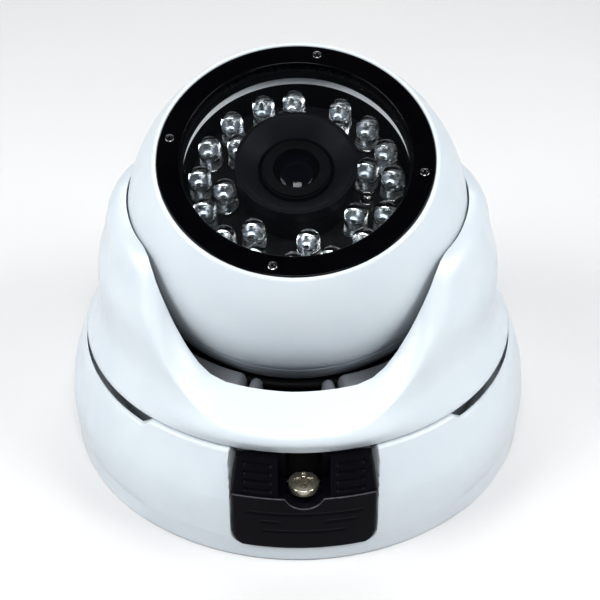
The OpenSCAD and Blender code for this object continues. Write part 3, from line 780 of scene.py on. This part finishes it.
def yoke_column(a):
    """Closed outline (r, z) of the yoke cover at a folded angle."""
    side = smooth(22, 45, a)
    low_wall = [(28.4, 49.3), (29.3, 49.5), (30.1, 49.4), (30.9, 49.0), (31.8, 48.2), (34, 46.6),
                (60, 46.0)]
    tall_wall = [(28.2, 48.9), (29.2, 48.3), (30.2, 47.6), (31.5, 46.7), (33, 46.0), (35, 45.4),
                 (38, 45.15), (45.5, 45.0), (60, 44.9)]
    ridge_z = curve([(0, 31.8), (18, 32.3), (25, 34.2), (30, 36.4), (34, 39.6), (37, 43.2), (40, 46.2),
                     (43.5, 48.8), (47, 50.4), (52, 50.9), (90, 50.9)], a)
    ridge_r = curve([(0, 47.3), (18, 47.2), (25, 46.6), (30, 46.1), (36, 45.0), (42, 43.4), (50, 42.5),
                     (90, 42.4)], a)
    edge_z = curve([(0, 35.5), (20, 35.8), (25, 36.7), (29, 38.6), (33, 41.6), (38, 46.4), (43.6, 52.7),
                    (47.5, 56.2), (51, 57.9), (56, 58.5), (90, 60.8)], a)
    edge_r = 39.5 - 1.9 * smooth(42, 57, a) - 0.6 * smooth(57, 90, a)
    edge_r = max(edge_r, math.sqrt(CLEAR_R ** 2 - (edge_z - BALL_Z) ** 2) + 0.02)
    column = [(SKIRT_R - 0.6, SKIRT_Z), (SKIRT_R - 0.15, SKIRT_Z + 0.15), (SKIRT_R, SKIRT_Z + 0.6),
              (SKIRT_R, SKIRT_Z + 1.2)]
    knee = ridge_z - mix(1.0, 5.6, smooth(30, 52, a))
    low = SKIRT_Z + 1.5
    for k in range(1, 21):
        z = mix(low, max(knee, low + 0.3), k / 20)
        column.append((mix(curve(low_wall, z), curve(tall_wall, z), side), z))
    wall_r, wall_z = column[-1]
    for k in range(1, 9):
        t = k / 8
        mid = (mix(wall_r, ridge_r, 0.25), mix(wall_z, ridge_z, 0.62))
        r = wall_r * (1 - t) ** 2 + mid[0] * 2 * t * (1 - t) + ridge_r * t ** 2
        z = wall_z * (1 - t) ** 2 + mid[1] * 2 * t * (1 - t) + ridge_z * t ** 2
        column.append((r, z))
    collar = smooth(44, 58, a)
    ear = [(42.4, 53.8), (42.4, 54.8), (42.4, 56.0), (42.35, 57.5), (42.2, 59.0), (41.75, 60.2),
           (40.9, 60.95), (39.8, 61.15), (38.6, 61.1), (37.6, 60.95)]
    for k, (side_r, side_z) in enumerate(ear):
        t = (k + 1) / (len(ear) + 0.6)
        plain_r = mix(ridge_r, edge_r, t)
        plain_z = mix(ridge_z, edge_z, t) + 0.35 * math.sin(math.pi * t)
        tall_z = ridge_z + (side_z - 53) * (edge_z - ridge_z) / (60.8 - 53)
        column.append((mix(plain_r, side_r, collar), mix(plain_z, tall_z, collar)))
    column += [(edge_r + 0.12, edge_z - 0.05), (edge_r, edge_z - 0.35), (edge_r + 0.03, edge_z - 1.0)]
    column += [(max(edge_r, YOKE_IN_R - 1.5 * collar), edge_z - 2.2), (YOKE_IN_R, edge_z - 3.2)]
    column += [(YOKE_IN_R, 31.5), (41.4, 29.9), (41.4, 10.6), (45.35, 10.6), (45.35, 13.2), (43.4, 13.25)]
    column += [(43.4, SKIRT_Z)]
    return column


def soften(columns, rounds):
    """Averages each point with its neighbours round the yoke cover and up its outline."""
    n = len(columns)
    m = len(columns[0])
    keep = {0, 1, 2} | set(range(m - 12, m))
    for _ in range(rounds):
        fresh = []
        for i in range(n):
            before = columns[i - 1]
            after = columns[(i + 1) % n]
            here = columns[i]
            row = []
            for k in range(m):
                if k in keep:
                    row.append(here[k])
                    continue
                r = (here[k][0] * 4 + before[k][0] + after[k][0] + here[k - 1][0] + here[k + 1][0]) / 8
                z = (here[k][1] * 4 + before[k][1] + after[k][1] + here[k - 1][1] + here[k + 1][1]) / 8
                row.append((r, z))
            fresh.append(row)
        columns = fresh
    return columns


def yoke_mesh():
    """Yoke cover: outlines round the pan axis, softened so that its ridges blend."""
    steps = 360
    columns = soften([yoke_column(fold(2 * math.pi * i / steps)) for i in range(steps)], 36)
    verts = []
    for i, column in enumerate(columns):
        turn = 2 * math.pi * i / steps
        for r, z in column:
            verts.append((r * math.cos(turn), r * math.sin(turn), z))
    faces = skin_faces(steps, len(columns[0]), True)
    obj = piece("yoke_skin", verts, faces, YOKE, 50)
    weld(obj)
    return finish_piece(obj, "yoke", "white_paint", PAINT, "yoke_cover")


yoke_mesh()


def seat_block(start, span, top=34.3):
    """A curved block of the ball's seat with rounded ends and a rounded top."""
    inner = math.sqrt(CLEAR_R ** 2 - (BALL_Z - top) ** 2) + 0.5
    steps = 40
    verts = []
    for i in range(steps + 1):
        t = i / steps
        turn = math.radians(start + span * t)
        reach = min(t, 1 - t) * math.radians(span) * (inner + 2)
        drop = 1.6 - math.sqrt(max(0, 1.6 ** 2 - (1.6 - min(1.6, reach)) ** 2))
        height = top - drop
        section = rounded([(inner, 26.1), (inner + 4.3, 26.1), (inner + 4.3, height - 0.4),
                           (inner, height)], 1.1, 5)
        for r, z in section:
            verts.append((r * math.cos(turn), r * math.sin(turn), z))
    count = len(section)
    faces = skin_faces(steps + 1, count)
    faces.append(tuple(range(count)))
    faces.append(tuple(steps * count + k for k in reversed(range(count))))
    return verts, faces


blocks = [seat_block(start, 29) for start in (-135.5, -73.5, 44.5, 106.5)]
blocks += [seat_block(start, 4.5, 33.0) for start in (-105.3, -79.2, 74.7, 100.8)]
finish_piece(group("seat_block_skin", blocks, YOKE, 50), "yoke", "soft_grey", SEAT_GREY, "seat_blocks")


# ---------------------------------------------------------------- ball

front_outline = (
    [(37.1, SEAM_W), (37.5, SEAM_W + 0.05), (37.58, SEAM_W + 0.3), (37.5, SEAM_W + 0.6),
     (37.3, SEAM_W + 0.7)]
    + arc(BALL_R, SEAM_W + 0.95, FACE_W - 0.25, 60)
    + [(29.42, FACE_W - 0.05), (29.2, FACE_W), (28.95, FACE_W - 0.02), (28.8, FACE_W - 0.2)]
    + [(28.76, SEAT_W), (HOLE_R, SEAT_W), (HOLE_R, LIP_W), (30.2, LIP_W)]
    + list(reversed(arc(35.2, SEAM_W, 17.5, 24)))
)
front = lathe("front_shell_skin", front_outline, BALL, 240, 40)
finish_piece(front, "ball", "white_paint", PAINT, "front_shell")

ring_outline = (
    [(33.56, RING_BOTTOM), (36.4, RING_BOTTOM)] + arc(BALL_R - 0.25, RING_BOTTOM + 0.3, RING_TOP - 1.0, 10)
    + [(37.42, RING_TOP - 0.75), (37.5, RING_TOP - 0.4), (37.42, RING_TOP - 0.1), (37.2, RING_TOP),
       (33.56, RING_TOP)]
)
band = lathe("tilt_band_skin", ring_outline, GIMBAL, 240, 40)
finish_piece(band, "gimbal", "grey_metal", GREY_METAL)

bezel_outline = rounded([
    (GLASS_R + 0.15, SEAT_W), (BEZEL_R, SEAT_W), (BEZEL_R, FACE_W), (WINDOW_R, FACE_W - 0.05),
    (WINDOW_R, GLASS_TOP), (GLASS_R + 0.15, GLASS_TOP)
], 0.3, 5)
bezel = lathe("bezel_skin", bezel_outline, BALL, 240, 40)
finish_piece(bezel, "ball", "black_metal", BEZEL_BLACK, "bezel_ring")

small_heads = [screw_data(0.95, 0.45, FACE_W - 0.32, spot, 0.62, 0.15)
               for spot in spots(4, BEZEL_SCREW_R)]
finish_piece(group("bezel_screw_heads", small_heads, BALL, 60), "ball", "steel", DARK_STEEL, "bezel_screws")

glass_outline = rounded([(0, GLASS_BOTTOM), (GLASS_R, GLASS_BOTTOM), (GLASS_R, GLASS_TOP),
                         (0, GLASS_TOP)], 0.2, 3)
glass_outline = [(r, w) for r, w in glass_outline if r > 0.001] + [(0.0, GLASS_TOP), (0.0, GLASS_BOTTOM)]
glass = lathe("window_skin", glass_outline, BALL, 200, 40)
finish_piece(glass, "ball", "window_glass", WINDOW, "front_glass")

gasket_outline = rounded([
    (HOLE_R - 0.5, LIP_W - 0.1), (HOLE_R - 0.05, LIP_W - 0.1), (HOLE_R - 0.05, SEAT_W),
    (GLASS_R, SEAT_W), (GLASS_R, GLASS_BOTTOM), (HOLE_R - 0.5, GLASS_BOTTOM)
], 0.1, 3)
gasket = lathe("gasket_skin", gasket_outline, BALL, 200, 40)
finish_piece(gasket, "ball", "black_rubber", DEEP_BLACK, "glass_gasket")

spacer_outline = [
    (HOLE_R, SPACER_W), (CARRIER_R, SPACER_W), (CARRIER_R, LIP_W), (HOLE_R + 0.95, LIP_W),
    (HOLE_R + 0.62, LIP_W - 0.5), (HOLE_R + 0.36, LIP_W - 1.1), (HOLE_R + 0.16, LIP_W - 1.8),
    (HOLE_R + 0.02, LIP_W - 2.4)
]
# The spacer's near-white colour is partly its light metal and partly painted reflection.
spacer = lathe("spacer_skin", spacer_outline, BALL, 240, 30)
finish_piece(spacer, "ball", "aluminium", SPACER_SHEEN_WHITE, "spacer_ring")

carrier_outline = rounded([
    (HOLE_R - 1.6, CARRIER_W), (CARRIER_R, CARRIER_W), (CARRIER_R, SPACER_W),
    (HOLE_R, SPACER_W), (HOLE_R, BOARD_BOTTOM), (HOLE_R - 1.6, BOARD_BOTTOM)
], 0.15, 3)
carrier = lathe("carrier_skin", carrier_outline, BALL, 200, 30)
finish_piece(carrier, "ball", "black_plastic", DEEP_BLACK)


# ---------------------------------------------------------------- lamps


def lamp_body(spot):
    """Clear lamp: flange, straight side and round dome."""
    side = LAMP_TIP - LAMP_R
    dome = [(LAMP_R * math.cos(a), side + LAMP_R * math.sin(a))
            for a in (math.pi / 2 * k / 12 for k in range(13))]
    outline = [(0, BOARD_TOP), (LAMP_R + 0.3, BOARD_TOP), (LAMP_R + 0.3, BOARD_TOP + 0.9),
               (LAMP_R + 0.05, BOARD_TOP + 1.0), (LAMP_R, BOARD_TOP + 1.2)] + dome
    return lathe_data(outline, 40, spot)


def lamp_core(spot):
    """Metal posts of a lamp: a reflector cup on one lead and a flat anvil on the other."""
    x, y = spot
    low = BOARD_TOP + 0.2
    cup = LAMP_TIP - LAMP_R - 0.9
    outline = [(0.0, low), (2.2, low), (2.25, low + 0.3), (0.5, low + 0.35), (0.45, cup - 2.0),
               (0.95, cup - 1.3), (1.25, cup), (1.05, cup), (0.55, cup - 0.8), (0.35, cup - 0.8),
               (0.3, cup - 0.5), (0.0, cup - 0.5)]
    anvil = [(0.0, low), (0.3, low), (0.3, cup - 2.4), (0.4, cup - 2.2), (0.3, cup - 2.0), (0.0, cup - 2.0)]
    return [lathe_data(outline, 28, (x - 0.3, y)), lathe_data(anvil, 16, (x + 1.6, y))]


phase = -ROLL_AT_REST
NUDGE = {0: 3.2, 2: -2, 3: -3.5, 4: 3.5}
outer_turns = [phase + math.pi * i / 8 + math.radians(NUDGE.get(i, 0)) for i in range(16)]
rings = (
    ("outer", [(LAMP_OUTER_R * math.cos(a), LAMP_OUTER_R * math.sin(a)) for a in outer_turns]),
    ("inner", spots(8, LAMP_INNER_R, phase + math.pi / 16)),
)
for ring_name, ring_spots in rings:
    bodies = group(f"lamp_bodies_{ring_name}", [lamp_body(s) for s in ring_spots], BALL, 40)
    finish_piece(bodies, "ball", "lamp_resin", RESIN, f"lamps_{ring_name}_ring")
    cores = group(f"lamp_cores_{ring_name}", [c for s in ring_spots for c in lamp_core(s)], BALL, 40)
    finish_piece(cores, "ball", "aluminium", SILVER)

# ---------------------------------------------------------------- lens

hood_outline = rounded([
    (8.6, BOARD_TOP), (11.4, BOARD_TOP), (11.4, HOOD_TOP - 5.1), (12.8, HOOD_TOP - 3.1),
    (12.8, HOOD_TOP), (12.0, HOOD_TOP), (10.4, HOOD_TOP - 1.1), (7.9, BARREL_TOP - 0.2),
    (7.9, BARREL_TOP - 4), (8.6, BARREL_TOP - 5)
], 0.35, 5)
hood = lathe("hood_skin", hood_outline, BALL, 160, 40)
finish_piece(hood, "ball", "black_rubber", HOOD_BLACK, "lens_hood")

CARRIED = {
    "base_gasket": SOFT_GREY, "pan_washer": NYLON, "seat_ring": DEEP_BLACK, "seat_screws": STEEL,
    "friction_ring": DEEP_BLACK, "pivot_bushes": NYLON,
    "tilt_ring": GREY_METAL, "pivot_pins": PIVOT, "rear_shell": DEEP_BLACK, "shell_seal": DEEP_BLACK,
    "shell_screws": STEEL, "lamp_carrier": DEEP_BLACK, "carrier_screws": STEEL,
    "lamp_board": BOARD_BLACK, "light_sensor": RESIN, "lens_barrel": DEEP_BLACK,
    "lens_retainer": DEEP_BLACK, "front_lens": LENS, "rear_lens": LENS, "focus_lock_ring": GREY_METAL,
    "lens_holder": CHIP, "lens_holder_screws": STEEL, "image_sensor": CHIP,
    "sensor_board": BOARD_GREEN, "board_standoffs": BRASS, "power_board": BOARD_GREEN,
    "video_chip": CHIP, "power_connector": NYLON, "board_screws": STEEL, "rear_grommet": DEEP_BLACK,
}
for node_name, material in CARRIED.items():
    node = NODES[node_name]
    node.data.materials.clear()
    node.data.materials.append(material)

# ---------------------------------------------------------------- floor, light and camera

FLOOR_HALF = 1.5
AIM = (0, 0, 0.04)


def floor():
    """Pale floor under the camera."""
    mesh = bpy.data.meshes.new("floor")
    corners = [(-1, -1), (1, -1), (1, 1), (-1, 1)]
    mesh.from_pydata([(x * FLOOR_HALF, y * FLOOR_HALF, 0) for x, y in corners], [], [(0, 1, 2, 3)])
    obj = bpy.data.objects.new("floor", mesh)
    bpy.context.scene.collection.objects.link(obj)
    look = Look("floor_white", (0.6, 0.6, 0.6), 0.6)
    look.tint(look.noise(6, 2), (0.595, 0.595, 0.6), (0.61, 0.61, 0.61))
    obj.data.materials.append(look.material)


def soft_light(name, place, aim, size, power):
    """White area light turned towards a point."""
    data = bpy.data.lights.new(name, "AREA")
    data.shape = "RECTANGLE"
    data.size = size[0]
    data.size_y = size[1]
    data.energy = power
    obj = bpy.data.objects.new(name, data)
    obj.location = place
    obj.rotation_euler = (Vector(aim) - Vector(place)).to_track_quat("-Z", "Y").to_euler()
    bpy.context.scene.collection.objects.link(obj)


def world():
    """Pale studio walls under a dark ceiling."""
    w = bpy.data.worlds.new("studio")
    w.use_nodes = True
    nodes = w.node_tree.nodes
    links = w.node_tree.links
    coords = nodes.new("ShaderNodeTexCoord")
    split = nodes.new("ShaderNodeSeparateXYZ")
    ramp = nodes.new("ShaderNodeValToRGB")
    links.new(coords.outputs["Generated"], split.inputs["Vector"])
    links.new(split.outputs["Z"], ramp.inputs["Fac"])
    links.new(ramp.outputs["Color"], nodes["Background"].inputs["Color"])
    first, last = ramp.color_ramp.elements
    first.position = 0.0
    first.color = (0.80, 0.86, 0.95, 1)
    last.position = 1.0
    last.color = (0.01, 0.01, 0.012, 1)
    for place, level in ((0.55, 0.80), (0.80, 0.45), (0.92, 0.03)):
        stop = ramp.color_ramp.elements.new(place)
        stop.color = (level * 0.93, level * 0.97, level, 1)
    nodes["Background"].inputs["Strength"].default_value = 0.38
    bpy.context.scene.world = w


def camera():
    """Camera at the height and distance that give the object its shown outline."""
    data = bpy.data.cameras.new("camera")
    data.lens = 72.28
    data.sensor_width = 36
    data.clip_start = 0.01
    obj = bpy.data.objects.new("camera", data)
    turn = Matrix.Rotation(math.radians(-1.5), 4, "Z")
    obj.location = turn @ Vector((0.0005, -0.22744, 0.19563))
    aim = turn @ Vector((0.0005, 0, 0.0298))
    obj.rotation_euler = (aim - obj.location).to_track_quat("-Z", "Y").to_euler()
    bpy.context.scene.collection.objects.link(obj)
    bpy.context.scene.camera = obj


floor()
world()
soft_light("left", (-0.36, -0.13, 0.35), AIM, (0.26, 0.26), 1.95)
soft_light("right", (0.36, -0.13, 0.35), AIM, (0.26, 0.26), 1.82)
soft_light("front", (0.0, -0.34, 0.55), AIM, (0.24, 0.14), 2.15)
soft_light("backdrop", (0.0, 0.75, 0.55), (0, 0.62, 0), (1.0, 0.5), 5.2)
camera()
view = bpy.context.scene.view_settings
view.view_transform = "Standard"
view.gamma = 0.80
